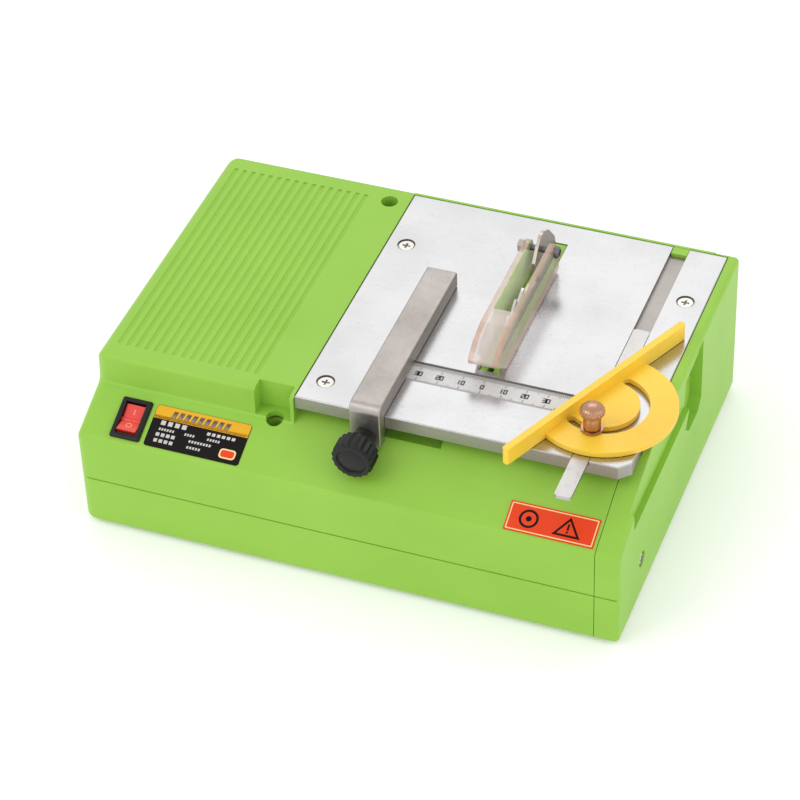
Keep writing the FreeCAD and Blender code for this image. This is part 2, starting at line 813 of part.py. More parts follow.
def make_switch():
    half = d.switch_width / 2
    reach_up = d.switch_length / 2
    bezel = box(-half, half, -reach_up, reach_up, 0, 1.6)
    bezel = rounded(bezel, 1.0, lambda a, b: vertical(a, b) or (near(a.z, 1.6) and near(b.z, 1.6)))
    body = box(-6.2, 6.2, -9.2, 9.2, -13, 0.2)
    room = box(-4.9, 4.9, -7.9, 7.9, -11, 3)
    holes = rod("x", -5.6, 0, -rocker_drop, rocker_pin + d.run_fit, 11.2)
    node("switch_frame", on_deck(cut(fuse(bezel, body), room, holes), switch_x, switch_along, 0))
    tabs = [box(-2.4, 2.4, y - 0.4, y + 0.4, -19, -13) for y in (-6, 0, 6)]
    node("switch_terminals", on_deck(group(tabs), switch_x, switch_along, 0))
    # The rocker is made level and tipped by half of its travel.
    button = prism("x", [(-7.0, -3), (-7.0, 2.6), (0, 0.9), (7.0, 2.6), (7.0, -3), (4, -6), (-4, -6)],
                   -4.6, 4.6)
    pins = rod("x", -5.2, 0, 0, rocker_pin, 10.4)
    rocker = fuse(button, pins)
    on_deck(rocker, switch_x, switch_along, -rocker_drop)
    turn(rocker, FreeCAD.Rotation(Vector(1, 0, 0), d.deck_slope.value - 8))
    node("switch_rocker", rocker)


# ---------------------------------------------------------------- motor


def make_motor():
    radius = d.motor_radius
    y = motor_y
    z = motor_z
    can_left = motor_left + 14
    can_right = motor_right - 12
    node("motor_can", ring("x", can_left, y, z, radius, radius - 1.6, can_right - can_left))
    bearings = []
    for label, wall_left, cup_left, cup_length, seat in (
        ("rear_bracket", motor_left, motor_left + 3, 11, motor_left + 1.5),
        ("front_bracket", motor_right - 3, motor_right - 12, 9, motor_right - 6.5),
    ):
        cup = ring("x", cup_left, y, z, radius, radius - 3, cup_length)
        plate = rod("x", wall_left, y, z, radius, 3)
        boss_left = seat - 1.5 if label == "rear_bracket" else seat
        boss = rod("x", boss_left, y, z, 10.5, 6.5)
        vents = []
        for k in range(6):
            angle = math.radians(60 * k + 30)
            vents.append(rod("x", wall_left - 1, y + 18 * math.cos(angle), z + 18 * math.sin(angle), 5, 5))
        tools = [rod("x", seat, y, z, 8, 5), rod("x", motor_left - 1, y, z, 5, d.motor_length + 2)]
        node(label, cut(fuse(cup, plate, boss), *vents, *tools))
        bearings.append(ring("x", seat, y, z, 8, d.motor_shaft_radius + d.run_fit, 5))
    node("motor_bearings", group(bearings))

    # stator: a steel ring with two poles, each inside its coil
    inside = radius - 1.6
    bore = d.armature_radius + 0.5
    back_iron = ring("x", core_left, y, z, inside, inside - 5, d.core_length)
    poles = common(ring("x", core_left, y, z, inside - 4, bore, d.core_length),
                   box(core_left, core_right, y - radius, y + radius, z - 9, z + 9))
    node("stator_core", fuse(back_iron, poles))
    coil_ring = ring("x", core_left - 6, y, z, inside - 5.3, bore + 1.6, d.core_length + 12)
    coils = common(coil_ring, box(core_left - 6, core_right + 6, y - radius, y + radius, z - 14, z + 14))
    node("field_coils", cut(coils, box(core_left - gap, core_right + gap, y - radius, y + radius,
                                       z - 9 - gap, z + 9 + gap)))

    # brush gear
    brush_x = motor_left + 12
    holders = []
    brushes = []
    springs = []
    for side in (-1, 1):
        near_end = z + side * 13
        far_end = z + side * (radius - 3.8)
        low, high = (near_end, far_end) if side > 0 else (far_end, near_end)
        holders.append(cut(box(brush_x - 4, brush_x + 4, y - 4.5, y + 4.5, low, high),
                           box(brush_x - 2.6, brush_x + 2.6, y - 3.1, y + 3.1, low - 1, high - 1.2)
                           if side > 0 else
                           box(brush_x - 2.6, brush_x + 2.6, y - 3.1, y + 3.1, low + 1.2, high + 1)))
        tip = z + side * 11.3
        end = z + side * 20
        low, high = (tip, end) if side > 0 else (end, tip)
        brushes.append(box(brush_x - 2.5, brush_x + 2.5, y - 3, y + 3, low, high))
        rest = z + side * (radius - 5.2)
        low, high = (end, rest) if side > 0 else (rest, end)
        springs.append(ring("z", brush_x, y, low, 2.2, 1.4, high - low))
    node("brush_holders", group(holders))
    node("carbon_brushes", group(brushes))
    node("brush_springs", group(springs))

    # straps that hold the motor in its saddles
    pieces = []
    screws = []
    for x in straps:
        band = common(ring("x", x, y, z, radius + 1.6, radius, 6),
                      box(x, x + 6, y - radius - 3, y + radius + 3, strap_z, z + radius + 3))
        ears = [box(x, x + 6, y - strap_reach, y - radius, strap_z, strap_z + 1.6),
                box(x, x + 6, y + radius, y + strap_reach, strap_z, strap_z + 1.6)]
        holes = [rod("z", x + 3, y + side * strap_screw_out, strap_z - 1, 1.6, 5) for side in (-1, 1)]
        pieces.append(cut(fuse(band, *ears), *holes))
        screws += [pan_screw("z", x + 3, y + side * strap_screw_out, strap_z + 1.6, 11) for side in (-1, 1)]
    node("motor_straps", group(pieces))
    node("strap_screws", group(screws))


def make_rotor():
    y = motor_y
    z = motor_z
    shaft = d.motor_shaft_radius
    node("rotor_shaft", rod("x", motor_left + 1.5, y, z, shaft,
                            pulley_left + pulley_width + 0.5 - motor_left))
    core = ring("x", core_left, y, z, d.armature_radius, shaft, d.core_length)
    slots = []
    wires = []
    for k in range(12):
        angle = math.radians(30 * k)
        reach_out = d.armature_radius - 3
        at = (y + reach_out * math.cos(angle), z + reach_out * math.sin(angle))
        slots.append(rod("x", core_left - 1, *at, 2.0, d.core_length + 2))
        wires.append(rod("x", core_left, *at, 1.8, d.core_length))
    node("armature_core", cut(core, *slots))
    bells = [
        lathe("x", core_left - 6, y, z, [(0, 7), (0, 12), (3, 15), (6, 15), (6, 7)]),
        lathe("x", core_right, y, z, [(0, 7), (0, 15), (3, 15), (6, 12), (6, 7)]),
    ]
    node("armature_windings", group(bells + wires))
    node("commutator", ring("x", motor_left + 8, y, z, 11, shaft, 7.5))
    hub = ring("x", core_right + 7, y, z, 9, shaft, 5)
    disc = ring("x", core_right + 10.5, y, z, 25, shaft, 1.5)
    vanes = []
    for k in range(10):
        vane = box(core_right + 7, core_right + 11, 8, 24.5, -0.7, 0.7)
        turn(vane, FreeCAD.Rotation(Vector(1, 0, 0), 36 * k))
        angle = math.radians(36 * k)
        move(vane, core_right + 7,
             y + 8 * math.cos(angle) + 0.7 * math.sin(angle),
             z + 8 * math.sin(angle) - 0.7 * math.cos(angle))
        vanes.append(vane)
    node("cooling_fan", fuse(hub, disc, *vanes))
    node("motor_pulley", pulley(y, z, d.motor_pulley_radius, shaft))


def pulley(y, z, radius, bore):
    rim = 0.7
    blank = lathe("x", pulley_left, y, z, [
        (0, bore),
        (0, radius + 1.9),
        (rim, radius + 1.9),
        (rim, radius),
        (pulley_width - rim, radius),
        (pulley_width - rim, radius + 1.9),
        (pulley_width, radius + 1.9),
        (pulley_width, bore),
    ])
    return blank


def loop(start, length, radius1, radius2):
    """The outline of a taut belt round two pulleys, as a solid."""
    span_y = blade_y - motor_y
    span_z = arbor_z - motor_z
    span = root(span_y * span_y + span_z * span_z)
    along = (radius1 - radius2) / span
    across = root(1 - along * along)
    uy = span_y / span
    uz = span_z / span
    corners = []
    for side, order in ((1, (0, 1)), (-1, (1, 0))):
        ny = uy * along - side * uz * across
        nz = uz * along + side * uy * across
        ends = [(motor_y + radius1 * ny, motor_z + radius1 * nz),
                (blade_y + radius2 * ny, arbor_z + radius2 * nz)]
        corners += [ends[index] for index in order]
    return fuse(prism("x", corners, start, start + length),
                rod("x", start, motor_y, motor_z, radius1, length),
                rod("x", start, blade_y, arbor_z, radius2, length))


def make_belt():
    start = pulley_left + 1
    small = d.motor_pulley_radius + gap
    large = d.arbor_pulley_radius + gap
    node("drive_belt", cut(loop(start, d.belt_width, small + d.belt_thick, large + d.belt_thick),
                           loop(start, d.belt_width, small, large)))


# ---------------------------------------------------------------- arbor and blade


def make_arbor():
    y = blade_y
    z = arbor_z
    radius = d.arbor_radius
    block = fuse(rod("x", block_left, y, z, 14, block_right - block_left),
                 box(block_left, block_right, y - 20, y + 20, block_low, block_top),
                 box(block_left, block_right, y - 13, y + 13, block_low, z))
    holes = [rod("z", x, sy, block_low - 1, 1.6, 30) for x, sy in block_screws]
    holes += [rod("x", seat, y, z, 10, 8) for seat in bearing_seats]
    holes.append(rod("x", block_left - 1, y, z, 7, 40))
    node("arbor_block", cut(block, *holes))
    node("block_screws", group([pan_screw("z", x, sy, block_top, 18) for x, sy in block_screws]))
    node("arbor_bearings", group([ring("x", seat, y, z, 10, radius + d.run_fit, 8)
                                  for seat in bearing_seats]))

    half = d.blade_thick / 2
    shaft_end = blade_x + half + 11
    node("arbor_shaft", rod("x", pulley_left - 1, y, z, radius, shaft_end - pulley_left + 1))
    node("arbor_pulley", pulley(y, z, d.arbor_pulley_radius, radius))
    node("inner_flange", lathe("x", blade_x - half - 4, y, z, [
        (0, radius), (0, 8), (2, 12), (4, 12), (4, radius)]))
    node("outer_flange", lathe("x", blade_x + half, y, z, [
        (0, radius), (0, 12), (1.5, 12), (3, 9), (3, radius)]))
    node("arbor_nut", hexagon("x", blade_x + half + 3, y, z, 15, 6, radius))

    points = []
    teeth = 24
    for k in range(teeth):
        for turned, scale in ((0.0, 1.0), (2.5, 0.985), (9.5, 0.925), (12.5, 0.915)):
            angle = math.radians(360 / teeth * k + turned)
            tip = d.blade_radius * scale
            points.append((tip * math.cos(angle), tip * math.sin(angle)))
    disc = prism("x", points, -half, half)
    holes = [rod("x", -3, 0, 0, radius, 6)]
    for k in range(4):
        angle = math.radians(90 * k + 45)
        holes.append(rod("x", -3, 24 * math.cos(angle), 24 * math.sin(angle), 2.2, 6))
    node("saw_blade", move(cut(disc, *holes), blade_x, y, z))


def make_knife():
    points = []
    for degrees in (0, 12, 24, 36, 46, 56):
        angle = math.radians(degrees)
        points.append((blade_y + knife_radius * math.cos(angle), arbor_z + knife_radius * math.sin(angle)))
    points += on_plate([(104.8, 14.5), (109.7, 20.2), (116.0, 24.9), (125.0, 19.9), (133.6, 9.9),
                        (137.0, 0)])
    points += [(knife_tail + 16, arbor_z - 4), (knife_tail + 16, arbor_z - 22), (knife_tail, arbor_z - 22)]
    plate = prism("x", points, blade_x - d.knife_thick / 2, blade_x + d.knife_thick / 2,
                  rounds=((7, 4.0), (8, 6.0), (9, 6.0)))
    holes = [rod("x", blade_x - 5, sy, sz, 1.6, 10) for sy, sz in knife_screws]
    holes.append(rod("x", blade_x - 5, plate_front + d.guard_pin_back, top + d.guard_pin_rise,
                     d.guard_pin_radius, 10))
    node("riving_knife", cut(plate, *holes))
    node("knife_screws", group([pan_screw("x", blade_x + d.knife_thick / 2, sy, sz, 8)
                                for sy, sz in knife_screws]))


# ---------------------------------------------------------------- guard


def make_guard():
    half = d.guard_width / 2
    pin_y = d.guard_pin_back
    pin_z = d.guard_pin_rise
    swing = pin_z - 0.6
    rise = d.guard_rise
    outside = [(46.5, 0.5), (114.4, 0.6)]
    for degrees in (-80, -72, -65):
        angle = math.radians(degrees)
        outside.append((pin_y + swing * math.cos(angle), pin_z + swing * math.sin(angle)))
    outside += [(121.0, 9.0), (116.5, rise), (52.0, rise), (42.0, rise - 3.0), (37.0, rise - 6.2),
                (33.5, 10.9)]
    hood = prism("x", on_plate(outside), blade_x - half, blade_x + half,
                 rounds=((6, 5.0), (7, 6.0), (10, 1.5)))
    hood = rounded(hood, 1.0, lambda a, b: (near(a.x, blade_x - half) and near(b.x, blade_x - half))
                   or (near(a.x, blade_x + half) and near(b.x, blade_x + half)))
    inner = half - d.guard_wall
    inside = [(50.2, -3), (50.2, 0.8), (40.5, 10.8), (44.0, rise - 5.4), (52.5, rise - 2.8),
              (62.5, rise - 2.8), (62.5, rise + 6), (130, rise + 6), (130, -3)]
    room = prism("x", on_plate(inside), blade_x - inner, blade_x + inner)
    eye = rod("x", blade_x - half - 1, plate_front + pin_y, top + pin_z, d.guard_pin_radius + d.run_fit,
              d.guard_width + 2)
    node("blade_guard", cut(hood, room, eye))
    at = (blade_x, plate_front + pin_y, top + pin_z)
    out = half + gap
    screw = driven_head("x", *at, [
        (-out - 2.9, 0), (-out - 2.9, d.guard_pin_radius), (out, d.guard_pin_radius), (out, 2.9),
        (out + 1.3, 2.9), (out + 2.0, 2.0), (out + 2.0, 0)], out + 2.0, 1.2)
    node("guard_screw", screw)
    node("guard_nut", hexagon("x", blade_x - out - 2.4, at[1], at[2], 5.5, 2.4, d.guard_pin_radius))


# ---------------------------------------------------------------- table plate


def make_plate():
    plate = prism("z", [
        (plate_left, plate_front),
        (plate_right - 5, plate_front),
        (plate_right, plate_front + 5),
        (plate_right, plate_back),
        (plate_left, plate_back),
    ], plate_under, top)
    plate = rounded(plate, 0.6, lambda a, b: near(a.z, top) and near(b.z, top))
    holes = [
        box(blade_x - d.throat_half, blade_x + d.throat_half, throat_front, throat_back,
            plate_under - 1, top + 1),
        box(plate_left + d.ruler_left, plate_left + d.ruler_right, plate_front + d.ruler_front,
            plate_front + d.ruler_front + d.ruler_width, top - d.ruler_depth, top + 1),
        box(groove_low, groove_high, plate_front - 1, plate_back + 1, top - d.groove_depth, top + 1),
        box(groove_low, groove_high, plate_back - 5, plate_back + 1, plate_under - 1, top + 1),
        # groove that the fence's jaw hooks into
        box(jaw_room_low, jaw_room_high, plate_front + 2.2, plate_front + 6.5,
            plate_under - 1, plate_under + 2.2),
    ]
    head_height = top - d.plate_screw_sunk
    for x, y in plate_screws:
        holes.append(rod("z", x, y, plate_under - 1, 1.7, 20))
        holes.append(cone("z", x, y, head_height - 2.4, 1.7, 3.6, 1.9))
        holes.append(rod("z", x, y, head_height - 0.5, d.plate_screw_recess, 3))
    node("table_plate", cut(plate, *holes))
    node("plate_screws", group([flat_screw(x, y, head_height, 16) for x, y in plate_screws]))
    node("ruler_strip", box(plate_left + d.ruler_left + 0.2, plate_left + d.ruler_right - 0.2,
                            plate_front + d.ruler_front + 0.2,
                            plate_front + d.ruler_front + d.ruler_width - 0.2,
                            top - d.ruler_depth, top - d.ruler_depth + 0.5))


# ---------------------------------------------------------------- fence


def make_fence():
    half = d.fence_width / 2
    under = top + gap
    over = under + d.fence_thick
    bar = prism("x", [
        (fence_front, top - 13.6),
        (fence_front, over),
        (fence_front + d.fence_length, over),
        (fence_front + d.fence_length, under),
        (fence_front + d.fence_leg, under),
        (fence_front + d.fence_leg, top - 13.6),
    ], fence_x - half, fence_x + half, rounds=((1, 4.0), (2, 1.0)))
    bar = rounded(bar, 0.8, lambda a, b: (near(a.x, fence_x - half) and near(b.x, fence_x - half))
                  or (near(a.x, fence_x + half) and near(b.x, fence_x + half)))
    eye = rod("y", fence_x, fence_front - 1, clamp_z, d.clamp_screw_radius + d.run_fit, d.fence_leg + 2)
    node("fence_bar", cut(bar, eye))
    node("fence_key", box(fence_x - 4.5, fence_x + 4.5, plate_front + d.ruler_front + gap,
                          plate_front + d.ruler_front + d.ruler_width - gap,
                          top - d.ruler_depth + 0.8, under))

    # jaw below the plate, drawn forward by the clamp screw
    jaw = prism("x", [
        (plate_front + 2.5, top - 13.6),
        (plate_front + 2.5, plate_under + 1.7),
        (plate_front + 5.0, plate_under + 1.7),
        (plate_front + 5.0, top - 13.6),
    ], fence_x - 6, fence_x + 6)
    bore = rod("y", fence_x, plate_front, clamp_z, d.clamp_screw_radius + d.run_fit, 8)
    node("clamp_jaw", cut(jaw, bore))
    node("clamp_screw", rod("y", fence_x, fence_front - 12, clamp_z, d.clamp_screw_radius,
                            12 + d.fence_leg + 7))

    radius = d.clamp_knob_radius
    face = front + 4.9
    grip_length = Size.of(10.5)
    knob_back = fence_front - gap - face
    blank = lathe("y", fence_x, face, clamp_z, [
        (0, 0),
        (0, radius - 0.8),
        (0.8, radius),
        (grip_length, radius),
        (grip_length, radius - 1.6),
        (knob_back, 5.0),
        (knob_back, 0),
    ])
    flutes = []
    for k in range(20):
        angle = math.radians(18 * k)
        flutes.append(rod("y", fence_x + (radius + 0.5) * math.cos(angle), face - 1,
                          clamp_z + (radius + 0.5) * math.sin(angle), 1.2, grip_length + 1))
    bore = rod("y", fence_x, fence_front - 12, clamp_z, d.clamp_screw_radius, 14)
    node("clamp_knob", cut(blank, *flutes, bore))


# ---------------------------------------------------------------- mitre gauge

head_low = top + gap
head_top = head_low + d.disc_thick
stem_y = pivot_y - d.slot_radius
stem_radius = d.slot_width / 2 - gap


def make_mitre():
    bar_y = plate_front - d.bar_front
    bar_low = top - d.groove_depth + gap
    bar = box(groove_low + gap, groove_high - gap, bar_y, bar_y + d.bar_length, bar_low, top - 0.05)
    bar = rounded(bar, 1.5, lambda a, b: vertical(a, b))
    node("mitre_bar", cut(bar, rod("z", groove_x, pivot_y, bar_low - 1, 2.5, 5),
                          rod("z", groove_x, stem_y, bar_low - 1, stem_radius, 5)))
    node("pivot_pin", rod("z", groove_x, pivot_y, bar_low, 2.5, head_top - 0.6 - bar_low))
    node("lock_stem", rod("z", groove_x, stem_y, bar_low, stem_radius, 12.5))

    # protractor disc, cut off along the working face, and the arm; made with the arm along Y
    disc = rod("z", 0, 0, 0, d.disc_radius, d.disc_thick)
    behind = box(-60, -d.arm_offset, -60, 60, -1, 6)
    arm = box(-d.arm_offset, -d.arm_offset + d.arm_thick, -d.arm_left, d.arm_right,
              0, top + d.arm_height - head_low)
    arm = rounded(arm, 1.2, lambda a, b: vertical(a, b))
    pin_hole = rod("z", 0, 0, -1, 2.5 + d.run_fit, d.disc_thick + 1 - 0.3)
    inner = d.slot_radius - d.slot_width / 2
    outer = d.slot_radius + d.slot_width / 2
    wide = 60
    span_low = math.radians(-125 + d.arm_angle.value)
    span_high = math.radians(72 + d.arm_angle.value)
    missing = prism("z", [
        (0, 0),
        (wide * math.cos(span_low), wide * math.sin(span_low)),
        (-wide, -wide),
        (-wide, wide),
        (wide * math.cos(span_high), wide * math.sin(span_high)),
    ], -2, 6)
    slot = cut(ring("z", 0, 0, -1, outer, inner, 5), missing)
    ends = [rod("z", d.slot_radius * math.cos(angle), d.slot_radius * math.sin(angle), -1,
                d.slot_width / 2, 5)
            for angle in (span_low, span_high)]
    head = cut(fuse(cut(disc, behind), arm), pin_hole, fuse(slot, *ends))
    turn(head, FreeCAD.Rotation(Vector(0, 0, 1), -d.arm_angle.value))
    node("mitre_head", move(head, groove_x, pivot_y, head_low))

    washer_low = head_top + gap
    node("lock_washer", ring("z", groove_x, stem_y, washer_low, 5.0, stem_radius + gap, 1.0))
    knob_low = washer_low + 1.0 + 0.05
    knob = lathe("z", groove_x, stem_y, knob_low, [
        (0, 0),
        (0, 3.95),
        (6.2, 3.95),
        (7.4, 5.0),
        (9.4, 5.65),
        (11.2, 5.2),
        (12.4, 3.6),
        (12.8, 0),
    ])
    node("lock_knob", cut(knob, rod("z", groove_x, stem_y, knob_low - 1, stem_radius + d.run_fit, 9.5)))


make_base_shell()
make_top_shell()
make_side_cover()
make_feet()
make_case_screws()
make_labels()
make_gland()
make_switch()
make_motor()
make_rotor()
make_belt()
make_arbor()
make_knife()
make_guard()
make_plate()
make_fence()
make_mitre()

# ---------------------------------------------------------------- checks and export

doc.recompute()
for item in doc.Objects:
    if "Invalid" in item.State or "Error" in item.State:
        raise RuntimeError("%s did not compute" % item.Label)
for item in NODES:
    if item.Shape.isNull() or not item.Shape.isValid():
        raise RuntimeError("%s has no valid shape" % item.Label)

os.makedirs("parts", exist_ok=True)
for item in NODES:
    item.Shape.exportStep("parts/%s.step" % item.Label)
    box_of = item.Shape.BoundBox
    print("%-20s solids %d  volume %.0f  x %.2f..%.2f y %.2f..%.2f z %.2f..%.2f" % (
        item.Label, len(item.Shape.Solids), item.Shape.Volume, box_of.XMin, box_of.XMax,
        box_of.YMin, box_of.YMax, box_of.ZMin, box_of.ZMax))
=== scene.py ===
"""Mini table saw: finishes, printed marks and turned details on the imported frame, in metres."""

import json
import math

import bmesh
import bpy
from mathutils import Matrix, Quaternion, Vector


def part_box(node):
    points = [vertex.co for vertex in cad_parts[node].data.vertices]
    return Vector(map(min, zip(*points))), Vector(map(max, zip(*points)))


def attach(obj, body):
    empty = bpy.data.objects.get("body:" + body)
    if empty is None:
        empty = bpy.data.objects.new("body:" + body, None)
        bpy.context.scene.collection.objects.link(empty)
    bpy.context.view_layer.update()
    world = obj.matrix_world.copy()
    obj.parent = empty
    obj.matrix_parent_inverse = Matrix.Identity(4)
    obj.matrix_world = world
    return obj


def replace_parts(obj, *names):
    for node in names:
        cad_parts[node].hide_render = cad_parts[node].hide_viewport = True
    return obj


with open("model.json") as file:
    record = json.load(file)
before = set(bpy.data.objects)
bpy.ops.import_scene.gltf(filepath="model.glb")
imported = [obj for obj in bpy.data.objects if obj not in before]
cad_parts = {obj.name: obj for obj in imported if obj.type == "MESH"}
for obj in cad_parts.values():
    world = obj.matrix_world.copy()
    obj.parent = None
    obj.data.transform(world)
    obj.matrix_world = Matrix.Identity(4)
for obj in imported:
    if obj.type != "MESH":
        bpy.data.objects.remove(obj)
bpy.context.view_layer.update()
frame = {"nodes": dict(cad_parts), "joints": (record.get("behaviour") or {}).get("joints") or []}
scene = bpy.context.scene
nodes = frame["nodes"]
MM = 0.001

# ---------------------------------------------------------------- camera, light and world

camera_at = Vector((0.39581, -1.00654, 0.97130))
camera_aim = Vector((-0.01335, 0.00966, 0.02134))
camera_roll = math.radians(-2.37)

camera = bpy.data.objects.new("camera", bpy.data.cameras.new("camera"))
camera.data.lens = 138.8
camera.data.sensor_width = 36
camera.data.clip_end = 20
camera.location = camera_at
camera.rotation_mode = "QUATERNION"
camera.rotation_quaternion = (
    (camera_aim - camera_at).to_track_quat("-Z", "Y") @ Quaternion((0, 0, 1), camera_roll)
)
scene.collection.objects.link(camera)
scene.camera = camera
scene.view_settings.view_transform = "Standard"


def softbox(name, place, aim, width, height, power):
    """A rectangular lamp of the given size in metres and power in watts, turned to its aim."""
    light = bpy.data.lights.new(name, "AREA")
    light.shape = "RECTANGLE"
    light.size = width
    light.size_y = height
    light.energy = power
    holder = bpy.data.objects.new(name, light)
    holder.location = place
    holder.rotation_mode = "QUATERNION"
    holder.rotation_quaternion = (Vector(aim) - Vector(place)).to_track_quat("-Z", "Y")
    scene.collection.objects.link(holder)


softbox("key_softbox", (-0.9, -0.9, 1.2), (0, 0, 0.04), 1.0, 1.0, 6)
softbox("back_softbox", (-0.3, 1.2, 1.3), (0, 0.05, 0.05), 1.0, 0.8, 2.5)
softbox("side_softbox", (1.4, -0.4, 0.9), (0.05, 0, 0.04), 0.8, 0.8, 3)

world = bpy.data.worlds.new("studio")
world.use_nodes = True
world.node_tree.nodes["Background"].inputs["Color"].default_value = (1, 1, 1, 1)
world.node_tree.nodes["Background"].inputs["Strength"].default_value = 0.92
scene.world = world


# ---------------------------------------------------------------- shader wires


class Wire:
    """An output socket of a shader tree. Arithmetic on it adds Math nodes."""

    def __init__(self, tree, socket=None):
        self.tree = tree
        self.socket = socket

    def node(self, kind, settings, sockets, output=0):
        """Adds a node: its settings first, then the values or links of its sockets."""
        made = self.tree.nodes.new(kind)
        for name, value in settings.items():
            setattr(made, name, value)
        for name, value in sockets.items():
            if isinstance(value, Wire):
                self.tree.links.new(value.socket, made.inputs[name])
            else:
                made.inputs[name].default_value = value
        return Wire(self.tree, made.outputs[output])

    def math(self, operation, *terms):
        return self.node("ShaderNodeMath", {"operation": operation}, dict(enumerate(terms)))

    def __add__(self, other):
        return self.math("ADD", self, other)

    __radd__ = __add__

    def __sub__(self, other):
        return self.math("SUBTRACT", self, other)

    def __rsub__(self, other):
        return self.math("SUBTRACT", other, self)

    def __mul__(self, other):
        return self.math("MULTIPLY", self, other)

    __rmul__ = __mul__

    def clamped(self, low, high):
        """0 where the value is below low, 1 where it is above high."""
        sockets = {"Value": self, "From Min": low, "From Max": high}
        return self.node("ShaderNodeMapRange", {}, sockets)

    def place(self):
        """Object coordinates, which are the row's frame in metres."""
        return self.node("ShaderNodeTexCoord", {}, {}, "Object")

    def stretched(self, x, y, z):
        """Object coordinates scaled by x, y and z."""
        sockets = {0: self.place(), 1: (x, y, z)}
        return self.node("ShaderNodeVectorMath", {"operation": "MULTIPLY"}, sockets)

    def noise(self, x, y, z, detail=3.0, roughness=0.55):
        sockets = {"Vector": self.stretched(x, y, z), "Scale": 1.0, "Detail": detail, "Roughness": roughness}
        return self.node("ShaderNodeTexNoise", {}, sockets, "Fac")

    def grit(self, scale, detail=2.0):
        return self.noise(scale, scale, scale, detail)

    def mixed(self, first, second):
        """first where this wire is 0, second where it is 1."""
        sockets = {0: self, 6: first, 7: second}
        return self.node("ShaderNodeMix", {"data_type": "RGBA"}, sockets, 2)

    def axis(self, number):
        """One object coordinate: 0 across, 1 along, 2 up."""
        return self.node("ShaderNodeSeparateXYZ", {}, {"Vector": self.place()}, number)

    def bump(self, strength, distance):
        sockets = {"Height": self, "Strength": strength, "Distance": distance}
        return self.node("ShaderNodeBump", {}, sockets)


def rgb(red, green, blue):
    return (red, green, blue, 1)


def finish(name, constants, varying):
    """A Principled material: plain numbers on its sockets, and what varying(wire) gives linked to them."""
    material = bpy.data.materials.new(name)
    material.use_nodes = True
    tree = material.node_tree
    shader = tree.nodes["Principled BSDF"]
    for socket, value in constants.items():
        shader.inputs[socket].default_value = value
    for socket, wire in varying(Wire(tree)).items():
        tree.links.new(wire.socket, shader.inputs[socket])
    return material


# ---------------------------------------------------------------- finishes


def moulded(name, colour, deeper, roughness, grain=2600, depth=0.00004, **constants):
    """Moulded plastic: faint flow marks in the colour, fine spark-eroded grain on the face."""

    def varying(wire):
        flow = wire.noise(14, 14, 20, 4).clamped(0.35, 0.68)
        speck = wire.grit(grain)
        rubbed = wire.grit(55, 5).clamped(0.5, 0.72)
        return {
            "Base Color": (flow * 0.75 + speck * 0.25).mixed(colour, deeper),
            "Roughness": speck * 0.10 + rubbed * 0.06 + (roughness - 0.08),
            "Normal": speck.bump(0.35, depth),
        }

    return finish(name, constants, varying)


def ground_metal(name, colour, deeper, roughness, streaks, depth=0.00003, **constants):
    """Ground or brushed metal. streaks is the grain's frequency along X, Y and Z, per metre."""

    def varying(wire):
        grain = wire.noise(*streaks, 4, 0.7)
        clouds = wire.grit(26, 4).clamped(0.35, 0.7)
        scratch = wire.grit(420, 1).clamped(0.62, 0.7)
        return {
            "Base Color": (clouds * 0.45 + grain * 0.55).mixed(colour, deeper),
            "Roughness": grain * 0.14 + clouds * 0.08 + scratch * 0.08 + (roughness - 0.12),
            "Normal": grain.bump(0.5, depth),
        }

    return finish(name, {"Metallic": 1.0, **constants}, varying)


green = moulded("housing_green", rgb(0.305, 0.565, 0.066), rgb(0.262, 0.515, 0.050), 0.47,
                **{"Specular IOR Level": 0.35})

TABLE_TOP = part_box("table_plate")[1].z


def plate_varying(wire):
    """A bright ground face; the milled grooves and the sawn edges below it are rougher, and their darker
    brownish grey is painted shade and reflection.
    """
    face = wire.axis(2).clamped(TABLE_TOP - 0.4 * MM, TABLE_TOP - 0.15 * MM)
    grain = wire.noise(70, 5200, 5200, 4, 0.7)
    milled = wire.noise(2600, 160, 2600, 4, 0.7)
    clouds = wire.grit(24, 4).clamped(0.35, 0.7)
    scratch = wire.grit(420, 1).clamped(0.62, 0.7)
    ground = (clouds * 0.5 + grain * 0.5).mixed(rgb(0.525, 0.525, 0.530), rgb(0.468, 0.468, 0.473))
    # painted shade and reflection: faces below the top, in the grooves and on the sawn edges, get a darker
    # brownish grey on top of their real roughness
    sawn_and_shaded = (clouds * 0.4 + milled * 0.6).mixed(rgb(0.480, 0.450, 0.425), rgb(0.290, 0.262, 0.240))
    return {
        "Base Color": face.mixed(sawn_and_shaded, ground),
        "Roughness": (1 - face) * 0.18 + grain * 0.12 + clouds * 0.06 + scratch * 0.03 + 0.18,
        "Normal": (grain * 0.3 + milled * (1 - face)).bump(0.5, 0.00003),
    }


brushed_plate = finish("brushed_plate", {"Metallic": 1.0}, plate_varying)
fence_steel = ground_metal("fence_steel", rgb(0.540, 0.500, 0.470),
                           rgb(0.330, 0.300, 0.275), 0.46, (2400, 300, 2400))
bar_steel = ground_metal("bar_steel", rgb(0.560, 0.540, 0.525),
                         rgb(0.450, 0.435, 0.420), 0.36, (3000, 120, 3000))
knife_steel = ground_metal("knife_steel", rgb(0.600, 0.530, 0.480),
                           rgb(0.440, 0.370, 0.320), 0.34, (2000, 400, 2000))
turned_steel = ground_metal("turned_steel", rgb(0.62, 0.61, 0.60),
                            rgb(0.45, 0.44, 0.43), 0.32, (3500, 500, 500))
blade_steel = ground_metal("blade_steel", rgb(0.74, 0.74, 0.73),
                           rgb(0.60, 0.60, 0.59), 0.34, (900, 900, 900))
cast_alloy = ground_metal("cast_alloy", rgb(0.55, 0.55, 0.56),
                          rgb(0.42, 0.42, 0.43), 0.55, (900, 900, 900), 0.0001)
core_steel = ground_metal("core_steel", rgb(0.22, 0.22, 0.23),
                          rgb(0.12, 0.12, 0.13), 0.45, (2800, 200, 200))
